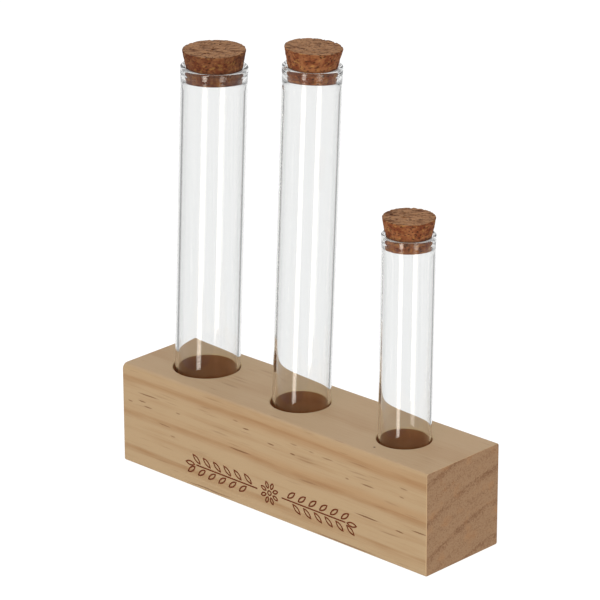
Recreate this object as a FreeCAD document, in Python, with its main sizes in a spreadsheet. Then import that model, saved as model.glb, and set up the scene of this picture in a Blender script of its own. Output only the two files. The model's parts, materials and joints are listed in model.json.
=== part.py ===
import FreeCAD, Part

import math
import os

import Sketcher

# Test tube vase: a wooden block with three round-bottomed glass tubes standing in drilled
# holes, each closed by a tapered cork. Millimetres, +Z up, +X along the block, front at -Y.
# The origin is the middle of the block's underside.

TUBES = ("left", "middle", "right")

BLOCK_SIZES = {
    "block_length": 198.5,
    "block_width": 50.0,
    "block_height": 51.2,
    "top_edge_radius": 3.0,
    "bottom_edge_radius": 1.0,
    "end_edge_radius": 0.6,
    "floor_thickness": 13.2,
    "hole_spacing": 65.0,
    "row_set_left": 1.8,
    "hole_clearance": 0.6,
    "hole_rim_chamfer": 0.4,
}

# The sprig burnt into the front face: a flower in the middle and a leafy stem to each side
SPRIG_SIZES = {
    "engraving_depth": 0.35,
    "engraving_line": 0.8,
    "sprig_height": 12.0,
    "flower_eye_radius": 1.5,
    "petal_gap": 0.5,
    "petal_length": 4.2,
    "petal_width": 2.4,
    "stem_gap": 1.8,
    "stem_length": 41.0,
    "leaf_gap": 0.5,
    "leaf_length": 7.0,
    "leaf_width": 2.8,
    "leaf_pitch": 6.9,
}

TUBE_SHARED_SIZES = {
    "lip_height": 2.8,
    "lip_proud": 0.15,
    "seat_gap": 0.2,
}

CORK_SHARED_SIZES = {
    "cork_length": 14.4,
    "cork_fit": 0.2,
    "cork_edge_chamfer": 0.5,
}

ANGLES_AND_COUNTS = {
    "lean_heading": 45.0,
    "leaf_angle": 38.0,
    "leaf_count": 6,
    "petal_count": 8,
}

# One number for each tube: left, middle, right
TUBE_SIZES = {
    "tube_diameter": (32.0, 28.0, 25.0),
    "tube_length": (190.6, 204.8, 138.6),
    "tube_wall": (1.65, 1.35, 1.0),
    "lip_thickness": (2.3, 2.25, 1.65),
    "cork_head": (8.0, 8.6, 8.2),
    "hole_set_back": (0.75, -0.8, -0.55),
}

# Shares are of the hole spacing and of the cork's length; leans and tilts are in degrees
TUBE_SHARES = {
    "hole_place_share": (-0.997, -0.009, 1.005),
    "cork_taper_share": (0.184, 0.215, 0.195),
}
TUBE_ANGLES = {
    "tube_lean": (1.9, 1.95, 0.7),
    "cork_tilt": (-1.8, 1.6, -0.4),
}

# Formulas of the sheet's names: $ stands before a shared name and @ before one tube's own name
HOLE_DEPTH = "($block_height - $floor_thickness)"
HOLE_RADIUS = "(@tube_diameter / 2 + $hole_clearance)"
HOLE_PLACE = "(@hole_place_share * $hole_spacing - $row_set_left)"

TUBE_RADIUS = "(@tube_diameter / 2)"
BORE_RADIUS = "(@tube_diameter / 2 - @tube_wall)"
LIP_RADIUS = "(@tube_diameter / 2 + $lip_proud)"
CROWN_RADIUS = "(@lip_thickness / 2)"
MOUTH_RADIUS = "(" + LIP_RADIUS + " - @lip_thickness)"
CROWN_HEIGHT = "(@tube_length - " + CROWN_RADIUS + ")"

# A tube turns in its hole about the middle of the straight wall that stands in the hole
SEAT_HEIGHT = "($floor_thickness + $seat_gap + " + TUBE_RADIUS + ")"
PIVOT_HEIGHT = "(($block_height + " + SEAT_HEIGHT + ") / 2)"
PIVOT_REACH = "((" + PIVOT_HEIGHT + " - " + SEAT_HEIGHT + ") / cos(@tube_lean) + " + TUBE_RADIUS + ")"

CORK_OUT = "(@cork_head + " + CROWN_RADIUS + ")"
CORK_IN = "($cork_length - " + CORK_OUT + ")"
CORK_TOP_RADIUS = "(" + MOUTH_RADIUS + " - $cork_fit + @cork_taper_share * " + CORK_OUT + ")"
CORK_FOOT_RADIUS = "(" + CORK_TOP_RADIUS + " - @cork_taper_share * $cork_length)"

PETAL_START = "($flower_eye_radius + $petal_gap)"
STEM_START = "(" + PETAL_START + " + $petal_length + $stem_gap)"
STEM_END = "(" + STEM_START + " + $stem_length)"
LEAF_RISE = "($engraving_line / 2 + $leaf_gap)"

os.makedirs("parts", exist_ok=True)
doc = FreeCAD.newDocument("test_tube_vase")
sheet = doc.addObject("Spreadsheet::Sheet", "Sizes")


def fill_sheet():
    cells = {}
    for table in (BLOCK_SIZES, SPRIG_SIZES, TUBE_SHARED_SIZES, CORK_SHARED_SIZES, ANGLES_AND_COUNTS):
        cells.update(table)
    for table in (TUBE_SIZES, TUBE_SHARES, TUBE_ANGLES):
        for name, row in table.items():
            for tube, number in zip(TUBES, row):
                cells[tube + "_" + name] = number
    for row, (alias, number) in enumerate(cells.items(), start=1):
        sheet.set("A%d" % row, alias)
        sheet.set("B%d" % row, str(number))
        sheet.setAlias("B%d" % row, alias)
    doc.recompute()


def sized(formula, tube=""):
    return formula.replace("@", "Sizes." + tube + "_").replace("$", "Sizes.")


def value(formula, tube=""):
    return float(sheet.evalExpression(sized(formula, tube)))


def new_body(label):
    body = doc.addObject("PartDesign::Body", label)
    body.Label = label
    return body


def new_sketch(body, name, role, out="0", up="0"):
    """A sketch on one of the body's own origin planes, moved out of that plane and up in it."""
    sketch = body.newObject("Sketcher::SketchObject", name)
    plane = next(p for p in body.Origin.OriginFeatures if p.Role == role)
    sketch.AttachmentSupport = [(plane, "")]
    sketch.MapMode = "FlatFace"
    sketch.setExpression("AttachmentOffset.Base.z", sized(out))
    sketch.setExpression("AttachmentOffset.Base.y", sized(up))
    return sketch


def bind(sketch, kind, places, formula, tube=""):
    """Add a dimension that follows a formula of the sheet."""
    constraint = Sketcher.Constraint(kind, *places, value(formula, tube))
    index = sketch.addConstraint(constraint)
    sketch.setExpression("Constraints[%d]" % index, sized(formula, tube))


def pin_point(sketch, geometry, point, x, y, tube=""):
    """Hold a point at its distances from the sketch's origin, or on an axis for a zero."""
    if x == "0":
        sketch.addConstraint(Sketcher.Constraint("PointOnObject", geometry, point, -2))
    else:
        bind(sketch, "DistanceX", (-1, 1, geometry, point), x, tube)
    if y == "0":
        sketch.addConstraint(Sketcher.Constraint("PointOnObject", geometry, point, -1))
    else:
        bind(sketch, "DistanceY", (-1, 1, geometry, point), y, tube)


def join(sketch, first, first_point, second, second_point):
    sketch.addConstraint(Sketcher.Constraint("Coincident", first, first_point, second, second_point))


def flat(x, y):
    return FreeCAD.Vector(x, y, 0)


def add_arc(sketch, start, end, centre):
    """The anticlockwise arc about a centre from start to end."""
    circle = Part.Circle(centre, FreeCAD.Vector(0, 0, 1), (start - centre).Length)
    first = math.atan2(start.y - centre.y, start.x - centre.x)
    last = math.atan2(end.y - centre.y, end.x - centre.x)
    return sketch.addGeometry(Part.ArcOfCircle(circle, first, last), False)


def outline(sketch, corners, tube="", arcs=()):
    """A closed outline through corners given as formulas.

    arcs holds, for each curved stretch, the number of the corner where it starts, the
    formulas of its centre, and True if it runs clockwise.
    """
    curved = {start: (centre, clockwise) for start, centre, clockwise in arcs}
    places = [flat(value(x, tube), value(y, tube)) for x, y in corners]
    ends = []
    for index, place in enumerate(places):
        following = places[(index + 1) % len(places)]
        if index not in curved:
            geometry = sketch.addGeometry(Part.LineSegment(place, following), False)
            ends.append((geometry, 1, 2))
            continue
        centre, clockwise = curved[index]
        middle = flat(value(centre[0], tube), value(centre[1], tube))
        if clockwise:
            ends.append((add_arc(sketch, following, place, middle), 2, 1))
        else:
            ends.append((add_arc(sketch, place, following, middle), 1, 2))
    for index, (geometry, start, end) in enumerate(ends):
        following, following_start, _ = ends[(index + 1) % len(ends)]
        join(sketch, geometry, end, following, following_start)
        pin_point(sketch, geometry, start, *corners[index], tube)
        if index in curved:
            bind(sketch, "DistanceY", (-1, 1, geometry, 3), curved[index][0][1], tube)


def disc(sketch, x, y, radius, tube=""):
    place = flat(value(x, tube), value(y, tube))
    circle = Part.Circle(place, FreeCAD.Vector(0, 0, 1), value(radius, tube))
    geometry = sketch.addGeometry(circle, False)
    bind(sketch, "Radius", (geometry,), radius, tube)
    pin_point(sketch, geometry, 3, x, y, tube)


def leaf_ring(sketch, x, y, angle, length, width):
    """A leaf drawn as a line of even breadth: two arcs that meet in points, inside two more."""
    span = "(" + length + ")"
    half = "(" + width + " / 2)"
    radius = "((" + span + "^2 / 4 + " + half + "^2) / (2 * " + half + "))"
    inner_radius = "(" + radius + " - $engraving_line)"
    tip_x = x + " + " + span + " * cos(" + angle + ")"
    tip_y = y + " + " + span + " * sin(" + angle + ")"

    base = flat(value(x), value(y))
    tip = flat(value(tip_x), value(tip_y))
    along = (tip - base).normalize()
    across = flat(-along.y, along.x)
    middle = (base + tip) / 2
    set_back = value(radius) - value(half)
    inner_reach = math.sqrt(value(inner_radius) ** 2 - set_back ** 2)

    outer = []
    inner = []
    for side in (1, -1):
        centre = middle + across * (side * set_back)
        outer.append(add_arc(sketch, middle - along * (side * (tip - base).Length / 2),
                             middle + along * (side * (tip - base).Length / 2), centre))
        inner.append(add_arc(sketch, middle - along * (side * inner_reach),
                             middle + along * (side * inner_reach), centre))
    pin_point(sketch, outer[0], 1, x, y)
    pin_point(sketch, outer[0], 2, tip_x, tip_y)
    for pair, pair_radius in ((outer, radius), (inner, inner_radius)):
        join(sketch, pair[0], 2, pair[1], 1)
        join(sketch, pair[1], 2, pair[0], 1)
        bind(sketch, "Radius", (pair[0],), pair_radius)
        bind(sketch, "Radius", (pair[1],), pair_radius)
    join(sketch, inner[0], 3, outer[0], 3)
    join(sketch, inner[1], 3, outer[1], 3)


def feature(body, kind, name, sketch=None):
    made = body.newObject("PartDesign::" + kind, name)
    if sketch:
        made.Profile = sketch
        sketch.Visibility = False
    return made


def dress_edges(body, kind, name, size_property, size, wanted):
    """Round or bevel the edges of the body so far that a test picks."""
    doc.recompute()
    base = body.Tip
    names = ["Edge%d" % (i + 1) for i, edge in enumerate(base.Shape.Edges) if wanted(edge)]
    made = feature(body, kind, name)
    made.Base = (base, names)
    made.setExpression(size_property, sized(size))
    doc.recompute()
    return made


def cut(body, name, sketch, depth):
    """A pocket. One that points away from the solid would remove nothing and raise nothing."""
    doc.recompute()
    before = body.Tip.Shape.Volume
    pocket = feature(body, "Pocket", name, sketch)
    pocket.setExpression("Length", sized(depth))
    doc.recompute()
    if not pocket.Shape.Volume < before:
        raise RuntimeError(name + " removes nothing from " + body.Label)
    return pocket


def repeat(body, kind, name, cut_once, axis, count):
    """Repeat a pocket in a row or in a ring, counted from the pocket itself."""
    pattern = feature(body, kind, name)
    pattern.Originals = [cut_once]
    pattern.setExpression("Occurrences", sized(count))
    body.Tip = pattern
    if kind == "PolarPattern":
        pattern.Axis = (cut_once.Profile[0], [axis])
        pattern.Angle = 360
    else:
        pattern.Direction = (cut_once.Profile[0], [axis])
    return pattern


def runs_along(edge, axis):
    """A straight edge whose two ends differ in one coordinate only."""
    ends = [vertex.Point for vertex in edge.Vertexes]
    if len(ends) != 2 or edge.Curve.TypeId != "Part::GeomLine":
        return False
    step = ends[1] - ends[0]
    return abs(abs(step[axis]) - step.Length) < edge.Length * 1e-6


def mid_height(edge):
    return (edge.BoundBox.ZMin + edge.BoundBox.ZMax) / 2


def make_block():
    body = new_body("wood_block")

    footprint = new_sketch(body, "block_footprint", "XY_Plane")
    outline(footprint, [("-$block_length / 2", "-$block_width / 2"),
                        ("$block_length / 2", "-$block_width / 2"),
                        ("$block_length / 2", "$block_width / 2"),
                        ("-$block_length / 2", "$block_width / 2")])
    pad = feature(body, "Pad", "block_pad", footprint)
    pad.setExpression("Length", sized("$block_height"))

    half_height = value("$block_height") / 2
    end_place = value("$block_length") / 2
    flat_enough = value("$end_edge_radius") / 2

    def top_long(edge):
        return runs_along(edge, 0) and mid_height(edge) > half_height

    def bottom_long(edge):
        return runs_along(edge, 0) and mid_height(edge) < flat_enough

    def at_an_end(edge):
        box = edge.BoundBox
        return box.XLength < flat_enough and abs(abs(box.Center.x) - end_place) < flat_enough

    dress_edges(body, "Fillet", "top_edges", "Radius", "$top_edge_radius", top_long)
    dress_edges(body, "Fillet", "bottom_edges", "Radius", "$bottom_edge_radius", bottom_long)
    dress_edges(body, "Fillet", "end_edges", "Radius", "$end_edge_radius", at_an_end)

    hole_plan = new_sketch(body, "hole_plan", "XY_Plane", out="$block_height")
    for tube in TUBES:
        disc(hole_plan, HOLE_PLACE, "@hole_set_back", HOLE_RADIUS, tube)
    cut(body, "tube_holes", hole_plan, HOLE_DEPTH)

    block_top = value("$block_height")

    def hole_rim(edge):
        round_edge = edge.Curve.TypeId == "Part::GeomCircle"
        return round_edge and abs(mid_height(edge) - block_top) < flat_enough and edge.Closed

    dress_edges(body, "Chamfer", "hole_rims", "Size", "$hole_rim_chamfer", hole_rim)
    engrave_flower(body)
    for side_name, side in (("left", -1), ("right", 1)):
        engrave_stem(body, side_name, side)


def sprig_sketch(body, name):
    """A sketch on the front face with its origin at the middle of the flower."""
    return new_sketch(body, name, "XZ_Plane", out="$block_width / 2", up="$sprig_height")


def engrave_flower(body):
    eye = sprig_sketch(body, "flower_eye_ring")
    disc(eye, "0", "0", "$flower_eye_radius")
    disc(eye, "0", "0", "($flower_eye_radius - $engraving_line)")
    cut(body, "flower_eye", eye, "$engraving_depth")

    petal_ring = sprig_sketch(body, "petal_ring")
    angle = "(180 / $petal_count)"
    leaf_ring(petal_ring, PETAL_START + " * cos(" + angle + ")",
              PETAL_START + " * sin(" + angle + ")", angle, "$petal_length", "$petal_width")
    petal = cut(body, "petal", petal_ring, "$engraving_depth")
    repeat(body, "PolarPattern", "petals", petal, "N_Axis", "$petal_count")


def engrave_stem(body, name, side):
    """A stem with a leaf at its end, and rows of leaves in turn above and below it."""
    stem_lines = sprig_sketch(body, "stem_lines_" + name)
    near, far = ("%d * " % side + STEM_START, "%d * " % side + STEM_END)
    left, right = (near, far) if side > 0 else (far, near)
    outline(stem_lines, [(left, "-$engraving_line / 2"), (right, "-$engraving_line / 2"),
                         (right, "$engraving_line / 2"), (left, "$engraving_line / 2")])
    leaf_ring(stem_lines, "%d * (%s + $leaf_gap)" % (side, STEM_END), "0",
              "(90 - %d * 90)" % side, "$leaf_length", "$leaf_width")
    cut(body, "stem_" + name, stem_lines, "$engraving_depth")

    leaf_lines = sprig_sketch(body, "leaf_lines_" + name)
    for row, steps in ((1, "0.5"), (-1, "1")):
        place = "%d * (%s + %s * $leaf_pitch)" % (side, STEM_START, steps)
        angle = "(%d * (90 - %d * (90 - $leaf_angle)))" % (row, side)
        leaf_ring(leaf_lines, place, "%d * %s" % (row, LEAF_RISE), angle,
                  "$leaf_length", "$leaf_width")
    leaf_pair = cut(body, "leaf_pair_" + name, leaf_lines, "$engraving_depth")
    leaves = repeat(body, "LinearPattern", "leaves_" + name, leaf_pair, "H_Axis", "$leaf_count")
    leaves.setExpression("Length", sized("($leaf_count - 1) * $leaf_pitch"))
    leaves.Reversed = side < 0


def lean_in_place(body, tube, angle, x, y, z):
    """Turn a body from upright towards the lean's heading, with its foot at x, y, z."""
    axis = "create(<<vector>>; -sin($lean_heading); cos($lean_heading); 0)"
    turn = "create(<<rotation>>; " + axis + "; " + angle + ")"
    foot = "create(<<vector>>; " + x + "; " + y + "; " + z + ")"
    body.setExpression("Placement", sized("create(<<placement>>; " + foot + "; " + turn + ")", tube))


def foot_below(place, reach, lean):
    """The place that lies a reach down a leaning axis from another place."""
    x, y, z = place
    level = " - (" + reach + ") * sin(" + lean + ")"
    return (x + level + " * cos($lean_heading)",
            y + level + " * sin($lean_heading)",
            z + " - (" + reach + ") * cos(" + lean + ")")


def tube_foot():
    return foot_below((HOLE_PLACE, "@hole_set_back", PIVOT_HEIGHT), PIVOT_REACH, "@tube_lean")


def cork_foot():
    mouth = foot_below(tube_foot(), "-" + CROWN_HEIGHT, "@tube_lean")
    return foot_below(mouth, CORK_IN, "(@tube_lean + @cork_tilt)")


def make_tube(tube):
    body = new_body("tube_" + tube)
    profile = new_sketch(body, "tube_profile_" + tube, "XZ_Plane")
    lip_foot = "(@tube_length - $lip_height)"
    outline(profile, [("0", "0"),
                      (TUBE_RADIUS, TUBE_RADIUS),
                      (TUBE_RADIUS, lip_foot),
                      (LIP_RADIUS, CROWN_HEIGHT),
                      (MOUTH_RADIUS, CROWN_HEIGHT),
                      (BORE_RADIUS, lip_foot),
                      (BORE_RADIUS, TUBE_RADIUS),
                      ("0", "@tube_wall")], tube,
            arcs=[(0, ("0", TUBE_RADIUS), False),
                  (3, ("(" + LIP_RADIUS + " - " + CROWN_RADIUS + ")", CROWN_HEIGHT), False),
                  (6, ("0", TUBE_RADIUS), True)])
    turned = feature(body, "Revolution", "tube_turned_" + tube, profile)
    turned.ReferenceAxis = (profile, ["V_Axis"])
    turned.Angle = 360
    lean_in_place(body, tube, "@tube_lean", *tube_foot())


def make_cork(tube):
    body = new_body("cork_" + tube)
    profile = new_sketch(body, "cork_profile_" + tube, "XZ_Plane")
    outline(profile, [("0", "0"),
                      (CORK_FOOT_RADIUS, "0"),
                      (CORK_TOP_RADIUS, "$cork_length"),
                      ("0", "$cork_length")], tube)
    turned = feature(body, "Revolution", "cork_turned_" + tube, profile)
    turned.ReferenceAxis = (profile, ["V_Axis"])
    turned.Angle = 360

    def end_rim(edge):
        return edge.Curve.TypeId == "Part::GeomCircle"

    dress_edges(body, "Chamfer", "cork_edges_" + tube, "Size", "$cork_edge_chamfer", end_rim)
    lean_in_place(body, tube, "(@tube_lean + @cork_tilt)", *cork_foot())


def check_and_write():
    doc.recompute()
    for item in doc.Objects:
        if "Invalid" in item.State or "Error" in item.State:
            raise RuntimeError(item.Label + " failed: " + ", ".join(item.State))
    bodies = [item for item in doc.Objects if item.TypeId == "PartDesign::Body"]
    for body in bodies:
        if body.Shape.isNull() or not body.Shape.isValid() or len(body.Shape.Solids) != 1:
            raise RuntimeError(body.Label + " is not one valid solid")
    for body in bodies:
        body.Shape.exportStep("parts/" + body.Label + ".step")
        print(body.Label, "volume %.0f mm3" % body.Shape.Volume)


fill_sheet()
make_block()
for tube in TUBES:
    make_tube(tube)
for tube in TUBES:
    make_cork(tube)
check_and_write()
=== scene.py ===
"""A test tube vase: three corked glass tubes standing in a block of pine."""
import json
import math

import bpy
import numpy as np
from mathutils import Matrix, Vector, noise


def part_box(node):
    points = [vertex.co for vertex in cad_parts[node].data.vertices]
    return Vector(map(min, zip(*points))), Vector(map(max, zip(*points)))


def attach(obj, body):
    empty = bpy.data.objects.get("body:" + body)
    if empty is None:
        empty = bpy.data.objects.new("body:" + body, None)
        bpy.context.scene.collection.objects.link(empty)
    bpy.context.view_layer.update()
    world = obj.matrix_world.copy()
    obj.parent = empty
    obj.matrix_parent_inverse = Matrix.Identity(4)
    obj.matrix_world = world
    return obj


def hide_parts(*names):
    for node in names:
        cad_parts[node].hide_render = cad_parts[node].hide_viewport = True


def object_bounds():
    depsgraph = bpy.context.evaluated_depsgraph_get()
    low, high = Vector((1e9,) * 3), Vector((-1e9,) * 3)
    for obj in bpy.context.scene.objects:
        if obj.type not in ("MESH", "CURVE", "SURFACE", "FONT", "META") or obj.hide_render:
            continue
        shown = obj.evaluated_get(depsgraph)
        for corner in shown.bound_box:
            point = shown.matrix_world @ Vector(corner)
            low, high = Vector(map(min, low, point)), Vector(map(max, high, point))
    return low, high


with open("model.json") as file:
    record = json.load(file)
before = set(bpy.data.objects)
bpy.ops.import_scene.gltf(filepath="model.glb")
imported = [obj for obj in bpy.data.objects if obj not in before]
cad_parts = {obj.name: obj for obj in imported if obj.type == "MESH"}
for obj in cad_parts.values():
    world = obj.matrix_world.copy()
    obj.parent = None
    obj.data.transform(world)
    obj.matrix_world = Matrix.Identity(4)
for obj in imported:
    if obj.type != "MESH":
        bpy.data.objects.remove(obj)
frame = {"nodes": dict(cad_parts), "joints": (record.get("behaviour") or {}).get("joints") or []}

cad_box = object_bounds()
MM = 0.001
SIDES = ("left", "middle", "right")


# The camera, as the photograph's perspective gives it

CAMERA_AZIMUTH = math.radians(43.58)
CAMERA_ELEVATION = math.radians(20.95)
CAMERA_ROLL = math.radians(-0.23)
CAMERA_DISTANCE = 1746 * MM
CAMERA_ASIDE = -2.8 * MM
CAMERA_ABOVE = 96.1 * MM
CAMERA_LENS = 218.6
CAMERA_SENSOR = 36.0

toward_camera = Vector((math.sin(CAMERA_AZIMUTH), -math.cos(CAMERA_AZIMUTH), 0))


def make_camera():
    back = toward_camera * math.cos(CAMERA_ELEVATION)
    back.z = math.sin(CAMERA_ELEVATION)
    level = Vector((math.cos(CAMERA_AZIMUTH), math.sin(CAMERA_AZIMUTH), 0))
    upright = back.cross(level)
    right = math.cos(CAMERA_ROLL) * level + math.sin(CAMERA_ROLL) * upright
    up = math.cos(CAMERA_ROLL) * upright - math.sin(CAMERA_ROLL) * level
    place = Matrix((right, up, back)).transposed().to_4x4()
    place.translation = back * CAMERA_DISTANCE + right * CAMERA_ASIDE + up * CAMERA_ABOVE
    lens = bpy.data.cameras.new("camera")
    lens.lens = CAMERA_LENS
    lens.sensor_width = CAMERA_SENSOR
    camera = bpy.data.objects.new("camera", lens)
    camera.matrix_world = place
    bpy.context.scene.collection.objects.link(camera)
    bpy.context.scene.camera = camera


# Node trees: levels and shares from 0 to 1 are written where they act, and lengths have names

WHITE = (1, 1, 1, 1)


def rgb(red, green, blue):
    """A display colour, 0 to 255, as the linear colour that a shader takes."""
    def linear(part):
        part /= 255
        return part / 12.92 if part <= 0.04045 else ((part + 0.055) / 1.055) ** 2.4
    return (linear(red), linear(green), linear(blue), 1.0)


class Graph:
    """A node tree with short calls. A value is a number, a colour or another node's output."""

    def __init__(self, tree):
        self.tree = tree
        tree.nodes.clear()

    def node(self, kind, inputs=None, **settings):
        made = self.tree.nodes.new("ShaderNode" + kind)
        for name, value in settings.items():
            setattr(made, name, value)
        for key, value in (inputs or {}).items():
            if isinstance(value, bpy.types.NodeSocket):
                self.tree.links.new(value, made.inputs[key])
            else:
                made.inputs[key].default_value = value
        return made

    def math(self, operation, *values):
        return self.node("Math", dict(enumerate(values)), operation=operation).outputs[0]

    def vector(self, operation, *values):
        made = self.node("VectorMath", dict(enumerate(values)), operation=operation)
        return made.outputs["Value" if operation in ("LENGTH", "DOT_PRODUCT") else "Vector"]

    def join(self, x, y, z):
        return self.node("CombineXYZ", {0: x, 1: y, 2: z}).outputs[0]

    def split(self, vector):
        return self.node("SeparateXYZ", {0: vector}).outputs

    def rise(self, value, low, high):
        """0 below low, 1 above high and smooth between. With low above high it falls instead."""
        inputs = {"Value": value, "From Min": low, "From Max": high}
        return self.node("MapRange", inputs, interpolation_type="SMOOTHSTEP").outputs[0]

    def spread(self, value, low, high):
        """A value of 0 to 1 spread evenly from low to high."""
        return self.node("MapRange", {"Value": value, "To Min": low, "To Max": high}).outputs[0]

    def counted(self, place, patch):
        """Places counted in patches of this length, depth and height, in millimetres."""
        along, across, up = patch
        return self.vector("MULTIPLY", place, (1 / along, 1 / across, 1 / up))

    def noise(self, place, patch, detail=2.0, roughness=0.5):
        inputs = {"Vector": self.counted(place, patch), "Scale": 1.0, "Detail": detail,
                  "Roughness": roughness}
        return self.node("TexNoise", inputs).outputs[0]

    def cells(self, place, patch):
        inputs = {"Vector": self.counted(place, patch), "Scale": 1.0}
        return self.node("TexVoronoi", inputs).outputs

    def blend(self, factor, first, second):
        """One number fading into another."""
        return self.node("Mix", {0: factor, 2: first, 3: second}, data_type="FLOAT").outputs[0]

    def mix(self, factor, first, second, blend_type="MIX"):
        inputs = {0: factor, 6: first, 7: second}
        return self.node("Mix", inputs, data_type="RGBA", blend_type=blend_type).outputs[2]

    def product(self, *values):
        result = values[0]
        for value in values[1:]:
            result = self.math("MULTIPLY", result, value)
        return result

    def millimetres(self):
        here = self.node("TexCoord").outputs["Object"]
        scaled = self.node("VectorMath", {0: here, "Scale": 1 / MM}, operation="SCALE")
        return scaled.outputs["Vector"]

    def size_of(self, value):
        return self.math("ABSOLUTE", value)

    def moved_by(self, tone, grain, middle, strength):
        """A tone made darker where the grain is above its middle, and lighter below it."""
        return self.math("ADD", tone, self.product(self.math("SUBTRACT", grain, middle), strength))

    def tinted(self, factor, colour, tint):
        return self.mix(factor, colour, self.mix(1.0, colour, tint, "MULTIPLY"))

    def bump(self, height, strength, distance):
        inputs = {"Height": height, "Strength": strength, "Distance": distance}
        return self.node("Bump", inputs).outputs[0]


def new_material(name):
    made = bpy.data.materials.new(name)
    made.use_nodes = True
    return made, Graph(made.node_tree)


def show(graph, surface):
    graph.node("OutputMaterial", {"Surface": surface})


# Pine: each patch is the length, depth and height of one mark of the grain, in millimetres

PITH_Y = 45.0
PITH_Z = -142.0
RING_SPACING = 17.0
RING_EDGE = 167.4
RING_SWAY = 2.2
RING_RIPPLE = 0.6
SWAY_PATCH = (130, 45, 45)
RIPPLE_PATCH = (38, 9, 9)
BAND_PATCH = (42, 12, 6)
FIBRE_PATCH = (30, 0.9, 0.9)
CLOUD_PATCH = (26, 16, 5)
LINE_PATCH = (70, 1.7, 1.2)
LONG_DASH = (30, 4.0, 2.1)
SHORT_DASH = (22, 2.6, 1.2)
DASH_LIFT_PATCH = (22, 9, 9)
DASH_ZONE_PATCH = (45, 30, 7)
STREAK_LIFT_PATCH = (14, 14, 14)
STREAK_GAP_PATCH = (8, 5, 1.2)
SPECKLE_PATCH = (0.7, 0.5, 0.5)
ROUGH_RING_PATCH = (40, 6, 1.6)
END_CELL_PATCH = (4, 0.75, 0.6)
END_WARM_PATCH = (20, 9, 7)
PORE_PATCH = (30, 0.9, 0.9)
CHAR_PATCH = (0.8, 0.8, 0.8)
WEAVE_PATCH = (9, 0.22, 0.22)
GRIT_PATCH = (0.3, 0.3, 0.3)

PALE_WOOD = rgb(175, 147, 111)
BAND_WOOD = rgb(151, 112, 72)
STREAK_WOOD = rgb(106, 66, 36)
END_WOOD = rgb(157, 123, 90)
END_BAND = rgb(128, 90, 60)
END_WARM = rgb(168, 122, 80)
PORE_WOOD = rgb(96, 62, 42)
DOT_WOOD = rgb(70, 45, 30)
PALE_EDGE_WOOD = rgb(192, 160, 122)
BURNT_WOOD = rgb(134, 68, 30)
BURNT_DARK = rgb(96, 44, 18)
# Painted shade inside the holes: the wood there made darker and redder
HOLE_SHADE_TINT = rgb(200, 146, 110)
# Painted sheen on the top face: the wood there made paler and cooler
TOP_SHEEN_TINT = (1.06, 1.07, 1.17, 1)
WARM_TINT = (0.94, 0.84, 0.75, 1)

# Height and half width of the warm bands along the block, and where they set in
WARM_BANDS = ((46.0, 5.5), (28.5, 5.0))
WARM_SWAY = 2.0
WARM_START = (-70, 30)

DASH_LIFT = 0.8
STREAK_LIFT = 0.6
STREAK_HALF = 0.5
STREAK_DEPTH = 4.0
# Where each streak starts and ends along the block, its height, and how dark it is
FRONT_STREAKS = (
    (-90.0, -72.5, 38.9, 0.8), (-89.0, -82.5, 34.9, 0.9), (-96.0, -92.0, 32.9, 0.7),
    (-85.5, -78.0, 32.7, 0.8), (-63.0, -59.0, 35.6, 0.6), (-24.5, -20.0, 43.0, 0.6),
    (-18.0, -12.5, 40.6, 0.9), (-2.0, 4.0, 37.3, 0.9), (13.0, 17.5, 36.6, 1.0),
    (13.0, 19.0, 41.7, 0.5), (25.0, 29.5, 41.0, 0.5), (33.0, 42.5, 40.6, 0.6),
    (48.5, 51.5, 34.6, 0.7), (57.5, 68.0, 34.6, 0.8), (82.0, 86.0, 35.3, 0.6),
    (82.0, 88.5, 39.9, 0.6), (-29.0, -10.0, 28.2, 0.9), (51.0, 73.5, 18.7, 1.0),
    (79.5, 86.0, 17.6, 0.9), (89.0, 101.0, 21.0, 0.9), (-67.0, -62.5, 22.4, 0.6),
    (-76.0, -65.0, 26.6, 0.6), (-60.0, -20.0, 1.6, 0.7), (20.0, 75.0, 1.2, 0.7),
)
# The small dark dot on the top face
DOT_PLACE = (60.6, -17.9)
DOT_RADIUS = 0.75
DOT_CORE = 0.35

# Each pair says where a mask is 0 and where it is 1, in millimetres. The first four are depths in
# from the block's outside, for the painted shade in the holes and for the paler rims and corners.
HOLE_BELOW = (0.3, 0.8)
HOLE_INWARD = (1, 4)
RIM_INWARD = (3, 4)
CORNER_INWARD = (1.2, 0.7)
# The burnt ornament: how far it is sunk in the front face, and the part of the face it lies in
BURNT_FLOOR = (0.01, 0.06)
BURNT_DEEPEST = (1.2, 0.9)
BURNT_TOP = (23, 22)
BURNT_BOTTOM = (3, 4)
BURNT_REACH = (62, 60)
PINE_RELIEF = 0.12 * MM


def ring_bands(g, place, ripple):
    """How deep each place lies in the dark part of its yearly ring."""
    _, y, z = g.split(place)
    from_pith = g.join(0.0, g.math("SUBTRACT", y, PITH_Y), g.math("SUBTRACT", z, PITH_Z))
    sway = g.noise(place, SWAY_PATCH, detail=1.0)
    radius = g.math("ADD", g.vector("LENGTH", from_pith), g.spread(sway, -RING_SWAY, RING_SWAY))
    radius = g.math("ADD", radius, g.spread(ripple, -RING_RIPPLE, RING_RIPPLE))
    turn = g.math("FRACT", g.math("DIVIDE", g.math("SUBTRACT", radius, RING_EDGE), RING_SPACING))
    late = g.product(g.rise(turn, 0.66, 0.93), g.rise(turn, 1.0, 0.92))
    middle = g.product(g.rise(turn, 0.25, 0.4), g.rise(turn, 0.52, 0.42), 0.35)
    patchy = g.noise(place, BAND_PATCH)
    return g.product(g.math("ADD", late, middle), g.spread(patchy, -0.1, 1.7))


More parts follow.
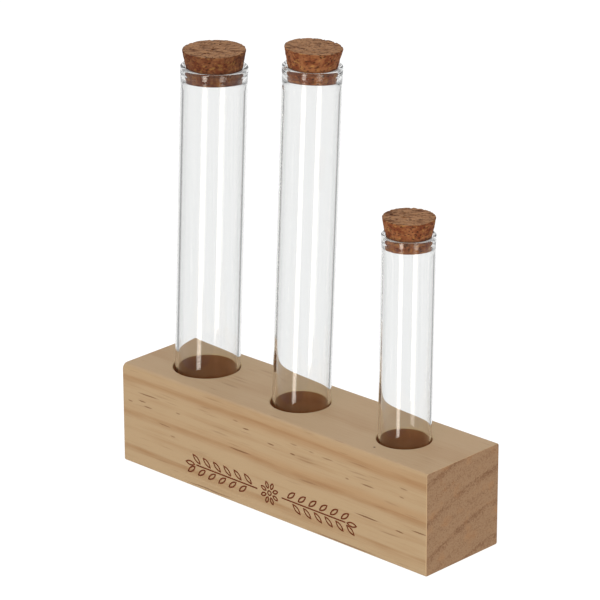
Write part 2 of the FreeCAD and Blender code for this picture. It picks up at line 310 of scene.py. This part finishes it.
def warm_bands(g, place, ripple):
    """The warmer bands along the block, faint on the left and clear on the right."""
    x, _, z = g.split(place)
    swayed = g.math("ADD", z, g.spread(ripple, -WARM_SWAY, WARM_SWAY))
    warm = 0.0
    for height, reach in WARM_BANDS:
        away = g.size_of(g.math("SUBTRACT", swayed, height))
        warm = g.math("MAXIMUM", warm, g.rise(away, reach, 0.0))
    return g.product(warm, g.spread(g.rise(x, *WARM_START), 0.35, 0.9))


def wood_dashes(g, place, patch, zone_level, shift):
    """Thin dark streaks of the grain, one stretched cell each, kept in loose groups."""
    there = g.vector("ADD", place, (shift, shift, shift))
    lift = g.spread(g.noise(there, DASH_LIFT_PATCH), -DASH_LIFT, DASH_LIFT)
    dash = g.cells(g.vector("ADD", there, g.join(0.0, 0.0, lift)), patch)
    chance = g.split(dash["Color"])
    zone = g.noise(there, DASH_ZONE_PATCH, detail=1.0)
    in_zone = g.rise(zone, zone_level - 0.04, zone_level + 0.05)
    kept = g.product(g.rise(chance[0], 0.45, 0.5), in_zone)
    thin = g.rise(dash["Distance"], g.spread(chance[1], 0.22, 0.34), 0.06)
    return g.product(thin, kept, g.spread(chance[2], 0.3, 0.95))


def front_streaks(g, place, low):
    """The resin streaks that stand out on the front face, each a thin long lens."""
    lift = g.spread(g.noise(place, STREAK_LIFT_PATCH), -STREAK_LIFT, STREAK_LIFT)
    bent = g.vector("ADD", place, g.join(0.0, 0.0, lift))
    total = 0.0
    for start, end, height, strength in FRONT_STREAKS:
        away = g.vector("SUBTRACT", bent, ((start + end) / 2, low.y, height))
        away = g.vector("MULTIPLY", away, (2 / (end - start), 1 / STREAK_DEPTH, 1 / STREAK_HALF))
        streak = g.rise(g.vector("LENGTH", away), 1.0, 0.4)
        total = g.math("MAXIMUM", total, g.product(streak, strength))
    return g.product(total, g.rise(g.noise(place, STREAK_GAP_PATCH), 0.28, 0.46))


def long_grain_colour(g, place, high, ripple, bands, fibre, dashes, facing_up):
    """The wood cut along its grain: the top, the front, the back and the underside."""
    lines = g.noise(place, LINE_PATCH, detail=3.0, roughness=0.6)
    tone = g.moved_by(g.product(bands, 0.58), fibre, 0.5, 0.55)
    tone = g.moved_by(tone, g.noise(place, CLOUD_PATCH), 0.5, 0.7)
    tone = g.moved_by(tone, lines, 0.5, 0.65)
    tone = g.product(tone, g.spread(facing_up, 1.0, 0.55))
    colour = g.mix(g.math("MAXIMUM", tone, 0.0), PALE_WOOD, BAND_WOOD)
    colour = g.tinted(warm_bands(g, place, ripple), colour, WARM_TINT)
    colour = g.mix(dashes, colour, STREAK_WOOD)
    from_dot = g.vector("LENGTH", g.vector("SUBTRACT", place, (*DOT_PLACE, high.z)))
    colour = g.mix(g.rise(from_dot, DOT_RADIUS, DOT_CORE), colour, DOT_WOOD)
    # Painted sheen: the top face made paler and cooler
    return g.tinted(facing_up, colour, TOP_SHEEN_TINT)


def end_grain_colour(g, place, bands):
    """The wood cut across its grain, at both ends."""
    speckle = g.noise(place, SPECKLE_PATCH, detail=3.0, roughness=0.7)
    rough_ring = g.noise(place, ROUGH_RING_PATCH, detail=3.0, roughness=0.65)
    cells = g.split(g.cells(place, END_CELL_PATCH)["Color"])
    tone = g.moved_by(g.product(bands, 0.75), speckle, 0.5, 2.0)
    tone = g.product(tone, g.spread(cells[1], 0.5, 1.4))
    tone = g.moved_by(tone, cells[0], 0.42, 0.75)
    tone = g.moved_by(tone, rough_ring, 0.5, 1.0)
    colour = g.mix(g.math("MAXIMUM", tone, 0.0), END_WOOD, END_BAND)
    warm = g.rise(g.noise(place, END_WARM_PATCH, detail=3.0), 0.52, 0.75)
    colour = g.mix(g.product(warm, 0.5), colour, END_WARM)
    pores = g.cells(place, PORE_PATCH)
    open_pore = g.rise(g.split(pores["Color"])[0], 0.72, 0.8)
    pore = g.product(g.rise(pores["Distance"], 0.32, 0.15), open_pore)
    return g.mix(g.product(pore, g.spread(bands, 0.15, 0.9)), colour, PORE_WOOD)


def deep_in(g, value, outside, start, full):
    """0 at the first depth in from the block's outside and 1 at the second."""
    return g.rise(value, outside - start, outside - full)


def in_the_holes(g, place, high):
    """1 in the three holes and 0 on the block's outside."""
    x, y, z = g.split(place)
    return g.product(deep_in(g, z, high.z, *HOLE_BELOW),
                     deep_in(g, g.size_of(y), high.y, *HOLE_INWARD),
                     deep_in(g, g.size_of(x), high.x, *HOLE_INWARD))


def paler_edges(g, place, normal, high):
    """The rims of the holes and the block's upright corners, which are made paler."""
    x, y, _ = g.split(place)
    rim = g.product(g.rise(normal[2], 0.35, 0.6), g.rise(normal[2], 0.95, 0.8),
                    deep_in(g, g.size_of(y), high.y, *RIM_INWARD))
    endward = g.size_of(normal[0])
    corner = g.product(g.rise(endward, 0.25, 0.5), g.rise(endward, 0.97, 0.85),
                       deep_in(g, g.size_of(x), high.x, *CORNER_INWARD),
                       g.rise(g.size_of(normal[1]), 0.2, 0.5))
    return g.product(g.math("MAXIMUM", rim, corner), 0.7)


def burnt_ornament(g, place, low):
    """1 in the sunk lines of the front face's ornament."""
    x, y, z = g.split(place)
    sunk = g.math("SUBTRACT", y, low.y)
    return g.product(g.rise(sunk, *BURNT_FLOOR), g.rise(sunk, *BURNT_DEEPEST),
                     g.rise(z, *BURNT_TOP), g.rise(z, *BURNT_BOTTOM),
                     g.rise(g.size_of(x), *BURNT_REACH))


def make_pine():
    pine, g = new_material("pine")
    place = g.millimetres()
    normal = g.split(g.node("TexCoord").outputs["Normal"])
    low, high = (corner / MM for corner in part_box("wood_block"))

    ripple = g.noise(place, RIPPLE_PATCH)
    bands = ring_bands(g, place, ripple)
    fibre = g.noise(place, FIBRE_PATCH, detail=3.0, roughness=0.6)
    dashes = g.math("MAXIMUM", wood_dashes(g, place, LONG_DASH, zone_level=0.52, shift=0.0),
                    g.product(wood_dashes(g, place, SHORT_DASH, zone_level=0.50, shift=37.0), 0.8))
    streaks = g.product(front_streaks(g, place, low), 0.85)
    dashes = g.math("MAXIMUM", g.product(dashes, 0.42), streaks)

    inside = in_the_holes(g, place, high)
    facing_up = g.rise(normal[2], 0.55, 0.98)
    facing_end = g.rise(g.size_of(normal[0]), 0.80, 0.97)
    facing_end = g.product(facing_end, g.math("SUBTRACT", 1.0, inside))
    colour = long_grain_colour(g, place, high, ripple, bands, fibre, dashes, facing_up)
    colour = g.mix(facing_end, colour, end_grain_colour(g, place, bands))
    colour = g.mix(paler_edges(g, place, normal, high), colour, PALE_EDGE_WOOD)
    # Painted shade: the wood inside the holes made darker and redder
    colour = g.tinted(inside, colour, HOLE_SHADE_TINT)
    char = g.mix(g.noise(place, CHAR_PATCH), BURNT_WOOD, BURNT_DARK)
    colour = g.mix(burnt_ornament(g, place, low), colour, char)

    weave = g.noise(place, WEAVE_PATCH, detail=3.0, roughness=0.6)
    grit = g.noise(place, GRIT_PATCH)
    relief = g.blend(facing_end, weave, grit)
    relief = g.math("SUBTRACT", relief, g.product(dashes, 1.5))
    roughness = g.spread(fibre, 0.50, 0.72)
    shader = g.node("BsdfPrincipled", {"Base Color": colour, "Roughness": roughness,
                                       "Specular IOR Level": 0.28,
                                       "Normal": g.bump(relief, 0.22, PINE_RELIEF)})
    show(g, shader.outputs[0])
    return pine


# Glass

GLASS_IOR = 1.5
GLASS_CLEAR = (0.997, 1, 0.998, 1)
GLASS_STREAK = (0.969, 0.976, 0.972, 1)
GLASS_SHADOW = (0.97, 0.985, 0.975, 1)
DRAWN_PATCH = (1.3, 1.3, 160)


def make_glass():
    glass, g = new_material("glass")
    drawn = g.noise(g.millimetres(), DRAWN_PATCH, roughness=0.6)
    tint = g.mix(g.rise(drawn, 0.38, 0.66), GLASS_CLEAR, GLASS_STREAK)
    clear = g.node("BsdfPrincipled", {"Base Color": tint, "Roughness": 0.0, "IOR": GLASS_IOR,
                                      "Transmission Weight": 1.0})
    through = g.node("BsdfTransparent", {"Color": GLASS_SHADOW})
    path = g.node("LightPath").outputs
    passing = g.math("MAXIMUM", path["Is Shadow Ray"], path["Is Diffuse Ray"])
    surface = g.node("MixShader", {0: passing, 1: clear.outputs[0], 2: through.outputs[0]})
    show(g, surface.outputs[0])
    return glass


# Cork

CORK_TOP = rgb(164, 122, 88)
CORK_TOP_DARK = rgb(96, 56, 34)
CORK_SIDE = rgb(146, 90, 54)
CORK_RED = rgb(116, 58, 30)
CORK_GOLD = rgb(170, 122, 66)
CORK_DARK = rgb(48, 24, 13)
CORK_AGE = {"left": 0.42, "middle": 0.12, "right": 0.08}
CORK_LAYERS = Vector((0.7245, 0.6893, 0.0))
CORK_BEND = 1.6
CORK_BEND_PATCH = (6, 6, 6)
CORK_LAYER_PATCH = (7.0, 1.5, 1.3)
CORK_BLOTCH_PATCH = (5.5, 4.0, 3.5)
CORK_FLECK_PATCH = (1.5, 1.0, 0.9)
CORK_GOLD_PATCH = (2.6, 2.6, 1.6)
CORK_RELIEF = 0.5 * MM


def make_cork():
    cork, g = new_material("cork")
    place = g.millimetres()
    normal = g.split(g.node("TexCoord").outputs["Normal"])
    pit, mouth_shade, age = (g.node("Attribute", attribute_name=name).outputs["Fac"]
                      for name in ("pit", "mouth_shade", "age"))
    along = g.vector("DOT_PRODUCT", place, tuple(CORK_LAYERS))
    across = g.vector("DOT_PRODUCT", place, (CORK_LAYERS.y, -CORK_LAYERS.x, 0.0))
    laid = g.join(along, across, g.split(place)[2])
    bend = g.spread(g.noise(laid, CORK_BEND_PATCH), -CORK_BEND, CORK_BEND)
    bent = g.vector("ADD", laid, g.join(0.0, bend, 0.0))
    layers = g.noise(bent, CORK_LAYER_PATCH, detail=4.0, roughness=0.62)
    blotches = g.noise(laid, CORK_BLOTCH_PATCH)
    fleck = g.noise(laid, CORK_FLECK_PATCH, detail=3.0, roughness=0.6)
    gold = g.rise(g.noise(laid, CORK_GOLD_PATCH), 0.56, 0.68)

    top = g.mix(g.rise(layers, 0.45, 0.66), CORK_TOP, CORK_TOP_DARK)
    side = g.mix(g.rise(blotches, 0.38, 0.62), CORK_SIDE, CORK_RED)
    side = g.mix(g.product(gold, 0.7), side, CORK_GOLD)
    side = g.mix(g.product(g.rise(layers, 0.5, 0.68), 0.55), side, CORK_RED)
    side = g.mix(age, side, CORK_DARK)
    colour = g.mix(g.rise(normal[2], 0.55, 0.9), side, top)
    colour = g.mix(g.product(g.rise(fleck, 0.52, 0.66), 0.85), colour, CORK_DARK)
    colour = g.mix(g.product(g.rise(fleck, 0.44, 0.30), 0.3), colour, CORK_GOLD)
    # The pits and rim chips darkened by their depth: the cork's dark pores, and painted shade in
    # these hollows
    colour = g.mix(g.product(pit, 0.9), colour, CORK_DARK)
    # Painted shade: the cork darkened where it meets the glass mouth
    colour = g.mix(g.product(mouth_shade, 0.8), colour, CORK_DARK)
    relief = g.math("SUBTRACT", layers, g.product(fleck, 0.6))
    shader = g.node("BsdfPrincipled", {"Base Color": colour, "Roughness": 0.85,
                                       "Specular IOR Level": 0.2,
                                       "Normal": g.bump(relief, 0.45, CORK_RELIEF)})
    show(g, shader.outputs[0])
    return cork


# Block

TOP_ROUNDING = 3.0 * MM
RIGHT_ROUNDING = 1.2 * MM
TINY = 1e-6


def make_block(pine):
    """A copy of the CAD block, whose long top edges grow sharper toward the right."""
    node = frame["nodes"]["wood_block"]
    mesh = node.data.copy()
    low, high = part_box("wood_block")
    for vertex in mesh.vertices:
        down = high.z - vertex.co.z
        inward = high.y - abs(vertex.co.y)
        if max(down, inward) > TOP_ROUNDING + TINY:
            continue
        share = (vertex.co.x - low.x) / (high.x - low.x)
        scale = 1 + share * (RIGHT_ROUNDING / TOP_ROUNDING - 1)
        vertex.co.z = high.z - down * scale
        vertex.co.y = math.copysign(high.y - inward * scale, vertex.co.y)
    mesh.materials.clear()
    mesh.materials.append(pine)
    piece = bpy.data.objects.new("block_worn", mesh)
    piece.matrix_world = node.matrix_world
    bpy.context.scene.collection.objects.link(piece)
    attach(piece, "block")
    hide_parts("wood_block")


# Turned pieces

def turned(name, outline, turn_to_place, segments):
    """A closed piece turned about its own Z axis.

    The outline is (radius, height) points from pole to pole.
    """
    angles = np.arange(segments) * 2 * math.pi / segments
    points, rings = [], []
    for radius, height in outline:
        start = len(points)
        if radius == 0:
            points.append((0.0, 0.0, height))
            rings.append([start] * segments)
            continue
        for angle in angles:
            points.append((radius * math.cos(angle), radius * math.sin(angle), height))
        rings.append(list(range(start, start + segments)))
    faces = []
    for below, above in zip(rings, rings[1:]):
        for i in range(segments):
            j = (i + 1) % segments
            corners = (below[i], below[j], above[j], above[i])
            faces.append(tuple(dict.fromkeys(corners)))
    mesh = bpy.data.meshes.new(name)
    mesh.from_pydata(points, [], faces)
    mesh.transform(turn_to_place)
    mesh.polygons.foreach_set("use_smooth", [True] * len(mesh.polygons))
    mesh.update()
    piece = bpy.data.objects.new(name, mesh)
    bpy.context.scene.collection.objects.link(piece)
    return piece


def arc(centre, radius, start, end, steps):
    """Points of an arc in the outline's plane, angles in degrees from the outward direction."""
    for step in range(steps + 1):
        angle = math.radians(start + (end - start) * step / steps)
        reach = centre[0] + radius * math.cos(angle)
        yield (max(0.0, reach), centre[1] + radius * math.sin(angle))


def line(start, end, steps):
    """Points between two outline points, without the two."""
    for step in range(1, steps):
        share = step / steps
        yield (start[0] + (end[0] - start[0]) * share, start[1] + (end[1] - start[1]) * share)


def upright_frame(foot, axis):
    place = axis.to_track_quat("Z", "Y").to_matrix().to_4x4()
    place.translation = foot
    return place


WALL_START = 0.05 * MM
CROWN_DEPTH = 1.2 * MM


class Tube:
    """A glass tube's line and sizes, read from its CAD solid."""

    def __init__(self, side):
        name = "lift_tube_" + side
        joint = next(joint for joint in frame["joints"] if joint["name"] == name)
        self.axis = Vector(joint["axis"]).normalized()
        points = [v.co for v in frame["nodes"]["tube_" + side].data.vertices]
        self.foot = min(points, key=self.axis.dot)
        heights = [(p - self.foot).dot(self.axis) for p in points]
        reaches = [(p - self.foot).cross(self.axis).length for p in points]
        self.length = max(heights)
        self.radius = max(r for r, h in zip(reaches, heights) if h < self.length / 2)
        self.bore = min(r for r, h in zip(reaches, heights) if abs(h - self.radius) < WALL_START)
        self.lip_radius = max(reaches)
        self.mouth = min(r for r, h in zip(reaches, heights) if h > self.length - CROWN_DEPTH)
        self.crown = (self.lip_radius - self.mouth) / 2


GLASS_SEGMENTS = 256
BOTTOM_STEPS = 40
WALL_STEPS = 24
FLARE_STEPS = 8
CROWN_STEPS = 28
BEAD_STEPS = 16
BEAD_STRAIGHT = 0.8 * MM
BEAD_HEIGHT = 3.4 * MM
BAND_HEIGHT = 3.4 * MM
LIP_LOW = 0.4 * MM
BAND_FLARE = 0.35 * MM
CROWN_FLATNESS = 0.45


def glass_outline(tube):
    """Up the outside, over the lip's crown, down the bead in the mouth and down the bore."""
    bottom = (0, tube.radius)
    top = tube.length - LIP_LOW
    crown_height = top - tube.crown * CROWN_FLATNESS
    band_foot = top - BAND_HEIGHT
    bead_top = crown_height - BEAD_STRAIGHT
    bead_foot = top - BEAD_HEIGHT
    outline = [(0.0, 0.0)]
    outline += list(arc(bottom, tube.radius, -90, 0, BOTTOM_STEPS))[1:]
    outline += line((tube.radius, tube.radius), (tube.radius, band_foot), WALL_STEPS)
    for step in range(FLARE_STEPS + 1):
        turn = math.radians(step * 90 / FLARE_STEPS)
        reach = tube.radius + (tube.lip_radius - tube.radius) * math.sin(turn)
        outline += [(reach, band_foot + BAND_FLARE * (1 - math.cos(turn)))]
    crown_middle = (tube.lip_radius - tube.crown, crown_height)
    for reach, height in arc(crown_middle, tube.crown, 0, 180, CROWN_STEPS):
        outline += [(reach, crown_height + (height - crown_height) * CROWN_FLATNESS)]
    for step in range(BEAD_STEPS + 1):
        share = step / BEAD_STEPS
        reach = tube.mouth + (tube.bore - tube.mouth) * (1 - math.cos(math.pi * share)) / 2
        outline += [(reach, bead_top + (bead_foot - bead_top) * share)]
    outline += line((tube.bore, bead_foot), (tube.bore, tube.radius), WALL_STEPS)
    outline += list(arc(bottom, tube.bore, 0, -90, BOTTOM_STEPS))[:-1]
    outline += [(0.0, tube.radius - tube.bore)]
    return outline


def make_tube(side, glass):
    tube = Tube(side)
    place = upright_frame(tube.foot, tube.axis)
    piece = turned("glass_" + side, glass_outline(tube), place, GLASS_SEGMENTS)
    piece.data.materials.append(glass)
    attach(piece, "tube_" + side)
    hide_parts("tube_" + side)


# Corks

ALMOST_ALONG = 0.99
FOOT_SHARE = 0.05


class Cork:
    """A cork's line and sizes, read from its CAD solid."""

    def __init__(self, side):
        mesh = frame["nodes"]["cork_" + side].data
        tube_axis = Tube(side).axis
        crown = [face for face in mesh.polygons if face.normal.dot(tube_axis) > ALMOST_ALONG]
        self.axis = sum((face.normal * face.area for face in crown), Vector()).normalized()
        points = [v.co for v in mesh.vertices]
        heights = [p.dot(self.axis) for p in points]
        self.length = max(heights) - min(heights)
        across = self.axis.orthogonal().normalized()
        self.foot = self.axis * min(heights)
        for way in (across, self.axis.cross(across)):
            reaches = [p.dot(way) for p in points]
            self.foot += way * (min(reaches) + max(reaches)) / 2
        reaches = [(p - self.foot).cross(self.axis).length for p in points]
        self.top_radius = max(reaches)
        lowest = min(heights) + self.length * FOOT_SHARE
        self.foot_radius = max(r for r, h in zip(reaches, heights) if h < lowest)


CORK_SEGMENTS = 280
CORK_EDGE = 0.55 * MM
CORK_EDGE_STEPS = 5
CORK_STEP = 0.38 * MM


def cork_outline(cork):
    low, high = CORK_EDGE, cork.length - CORK_EDGE
    foot, top = cork.foot_radius, cork.top_radius
    foot_flat, top_flat = foot - CORK_EDGE, top - CORK_EDGE
    outline = [(0.0, 0.0)]
    outline += line((0, 0), (foot_flat, 0), round(foot / CORK_STEP))
    outline += arc((foot_flat, low), CORK_EDGE, -90, 0, CORK_EDGE_STEPS)
    outline += line((foot, low), (top, high), round(cork.length / CORK_STEP))
    outline += arc((top_flat, high), CORK_EDGE, 0, 90, CORK_EDGE_STEPS)
    outline += line((top_flat, cork.length), (0, cork.length), round(top / CORK_STEP))
    outline += [(0.0, cork.length)]
    return outline


CORK_PITS = 60
PIT_LENGTH = (0.5 * MM, 1.7 * MM)
PIT_WIDTH = (0.22 * MM, 0.55 * MM)
PIT_TURN = 0.5
PIT_STEEPNESS = 1.6
CORK_PIT_DEPTH = 0.9 * MM
CORK_CHIPS = 12
CHIP_LENGTH = (0.6 * MM, 1.4 * MM)
CHIP_WIDTH = (0.4 * MM, 0.8 * MM)
CORK_RIM = 0.5 * MM
CORK_ROUGHNESS = 0.3 * MM
ROUGH_PATCH = 2.2 * MM
ROUGH_NOISE = (0.8, 2.1, 4)
# How far the painted shade at the glass mouth reaches along the cork
MOUTH_SHADE_REACH = 1.6 * MM


def pit_the_surface(piece, cork, tube, age, seed):
    """Sinks pits, cracks and rim chips into the cork.

    Each point keeps its pit depth, nearness to the mouth for the painted shade, and age as
    attributes.
    """
    mesh = piece.data
    count = len(mesh.vertices)
    places = np.empty(count * 3)
    mesh.vertices.foreach_get("co", places)
    places = places.reshape(-1, 3)
    normals = np.empty(count * 3)
    mesh.vertices.foreach_get("normal", normals)
    normals = normals.reshape(-1, 3)
    chance = np.random.default_rng(seed)
    depth = np.zeros(count)

    def sink_at(centre, way, length, width):
        way = way / np.linalg.norm(way)
        gap = places - centre
        along = gap @ way
        across = np.linalg.norm(gap - along[:, None] * way, axis=1)
        closeness = 1 - np.sqrt((along / length) ** 2 + (across / width) ** 2)
        np.maximum(depth, np.clip(closeness * PIT_STEEPNESS, 0, 1), out=depth)

    for _ in range(CORK_PITS):
        way = np.array(CORK_LAYERS) + chance.normal(size=3) * PIT_TURN
        length = chance.uniform(*PIT_LENGTH)
        centre = places[chance.integers(count)]
        sink_at(centre, way, length, chance.uniform(*PIT_WIDTH))
    from_foot = places - np.array(cork.foot)
    heights = from_foot @ np.array(cork.axis)
    reaches = np.linalg.norm(np.cross(from_foot, np.array(cork.axis)), axis=1)
    near_rim = (reaches > cork.top_radius - CORK_RIM) & (heights > cork.length - CORK_RIM)
    rim = np.flatnonzero(near_rim)
    for _ in range(CORK_CHIPS):
        centre = places[chance.choice(rim)]
        way = chance.normal(size=3)
        length = chance.uniform(*CHIP_LENGTH)
        sink_at(centre, way, length, chance.uniform(*CHIP_WIDTH))
    rough = np.array([noise.fractal(Vector(p) / ROUGH_PATCH, *ROUGH_NOISE) for p in places])
    sink = depth * CORK_PIT_DEPTH + (0.5 - rough * 0.5) * CORK_ROUGHNESS
    moved = places - normals * sink[:, None]
    # How near each point is to the glass mouth, for the painted shade there
    mouth = tube.length - tube.crown
    above_mouth = np.array(tube.axis) @ (places - np.array(tube.foot)).T - mouth
    mouth_shade = np.clip(1 - np.abs(above_mouth) / MOUTH_SHADE_REACH, 0, 1)
    mesh.vertices.foreach_set("co", moved.ravel())
    for name, values in (("pit", depth), ("mouth_shade", mouth_shade), ("age", np.full(count, age))):
        attribute = mesh.attributes.new(name, "FLOAT", "POINT")
        attribute.data.foreach_set("value", values)
    mesh.update()


def make_stopper(side, material, seed):
    cork = Cork(side)
    place = upright_frame(cork.foot, cork.axis)
    piece = turned("stopper_" + side, cork_outline(cork), place, CORK_SEGMENTS)
    pit_the_surface(piece, cork, Tube(side), CORK_AGE[side], seed)
    piece.data.materials.append(material)
    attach(piece, "cork_" + side)
    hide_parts("cork_" + side)


# Floor, light and surroundings

FLOOR_RADIUS = 4.0
FLOOR_CORNERS = 96
FLOOR_GLOW = 0.86
FLOOR_SHADE = rgb(140, 140, 142)
ROOM_LEVEL = 0.62
GLASS_DARK = 0.22
GLASS_SIDE = 0.36
STRIPE_COLOUR = (1.0, 0.92, 0.82, 1)
DARK_FACING = (50, 95)
WHITE_BEHIND = (22, 36)
STRIPE_FOOT = (-0.42, -0.40)
KEY_DIRECTION = (0.19, -0.98)
KEY_WIDTH = (0.3, 10)
KEY_LEVEL = 5.4
SIDE_DIRECTION = (0.96, -0.27)
SIDE_WIDTH = (1, 12.5)
SIDE_LEVEL = 2.6


def make_floor():
    bpy.ops.mesh.primitive_circle_add(vertices=FLOOR_CORNERS, radius=FLOOR_RADIUS,
                                      fill_type="NGON")
    floor = bpy.context.object
    floor.name = "floor"
    white, g = new_material("floor_white")
    plain = g.node("BsdfDiffuse", {"Color": FLOOR_SHADE})
    glow = g.node("Emission", {"Color": WHITE, "Strength": FLOOR_GLOW})
    seen = g.node("AddShader", {0: plain.outputs[0], 1: glow.outputs[0]})
    path = g.node("LightPath").outputs
    unseen = g.math("MAXIMUM", path["Is Glossy Ray"], path["Is Transmission Ray"])
    gone = g.node("BsdfTransparent")
    surface = g.node("MixShader", {0: unseen, 1: seen.outputs[0], 2: gone.outputs[0]})
    show(g, surface.outputs[0])
    floor.data.materials.append(white)


def make_world():
    world = bpy.data.worlds.new("studio")
    world.use_nodes = True
    bpy.context.scene.world = world
    g = Graph(world.node_tree)
    way = g.node("TexCoord").outputs["Generated"]
    x, y, z = g.split(way)
    level = g.vector("NORMALIZE", g.join(x, y, 0.0))

    def toward(direction, inner, outer):
        """1 within inner degrees of this heading, 0 beyond outer."""
        length = math.hypot(*direction)
        heading = (direction[0] / length, direction[1] / length, 0.0)
        nearness = g.vector("DOT_PRODUCT", level, heading)
        return g.rise(nearness, math.cos(math.radians(outer)), math.cos(math.radians(inner)))

    behind = (-toward_camera.x, -toward_camera.y)
    facing = toward((toward_camera.x, toward_camera.y), *DARK_FACING)
    room = g.spread(facing, GLASS_SIDE, GLASS_DARK)
    behind_glass = toward(behind, *WHITE_BEHIND)
    reflected = g.blend(behind_glass, room, 1.0)
    upper = g.rise(z, *STRIPE_FOOT)
    key = g.product(toward(KEY_DIRECTION, *KEY_WIDTH), upper, KEY_LEVEL)
    side = g.product(toward(SIDE_DIRECTION, *SIDE_WIDTH), upper, SIDE_LEVEL)
    reflected = g.math("ADD", reflected, g.math("ADD", key, side))

    path = g.node("LightPath").outputs
    mirrored = g.math("GREATER_THAN", path["Glossy Depth"], 0.5)
    light = g.blend(mirrored, 1.0, reflected)
    light = g.blend(path["Is Camera Ray"], light, 1.0)
    light = g.blend(path["Is Diffuse Ray"], light, ROOM_LEVEL)
    stripes = g.product(g.math("MINIMUM", g.math("ADD", key, side), 1.0), mirrored)
    colour = g.mix(stripes, WHITE, STRIPE_COLOUR)
    sky = g.node("Background", {"Color": colour, "Strength": light})
    g.node("OutputWorld", {"Surface": sky.outputs[0]})


def make_lamp(name, heading, elevation, distance, size, level):
    """A soft lamp. At level 1 it shows a surface that faces it in the colour as written."""
    data = bpy.data.lights.new(name, "AREA")
    data.shape = "SQUARE"
    data.size = size
    data.energy = level * math.pi ** 2 * distance ** 2
    lamp = bpy.data.objects.new(name, data)
    length = math.hypot(*heading)
    lift = math.radians(elevation)
    level_reach = math.cos(lift) / length
    way = Vector((heading[0] * level_reach, heading[1] * level_reach, math.sin(lift)))
    aim = (cad_box[0] + cad_box[1]) / 2
    lamp.location = aim + way * distance
    lamp.rotation_euler = way.to_track_quat("Z", "Y").to_euler()
    lamp.visible_glossy = False
    lamp.visible_transmission = False
    bpy.context.scene.collection.objects.link(lamp)


bpy.context.scene.view_settings.view_transform = "Standard"
make_camera()
make_floor()
make_world()
make_lamp("key_lamp", KEY_DIRECTION, elevation=38, distance=1.3, size=0.8, level=0.46)
make_lamp("side_lamp", SIDE_DIRECTION, elevation=25, distance=1.4, size=0.8, level=0.14)

make_block(make_pine())
glass = make_glass()
cork = make_cork()
for number, side in enumerate(SIDES):
    make_tube(side, glass)
    make_stopper(side, cork, number)
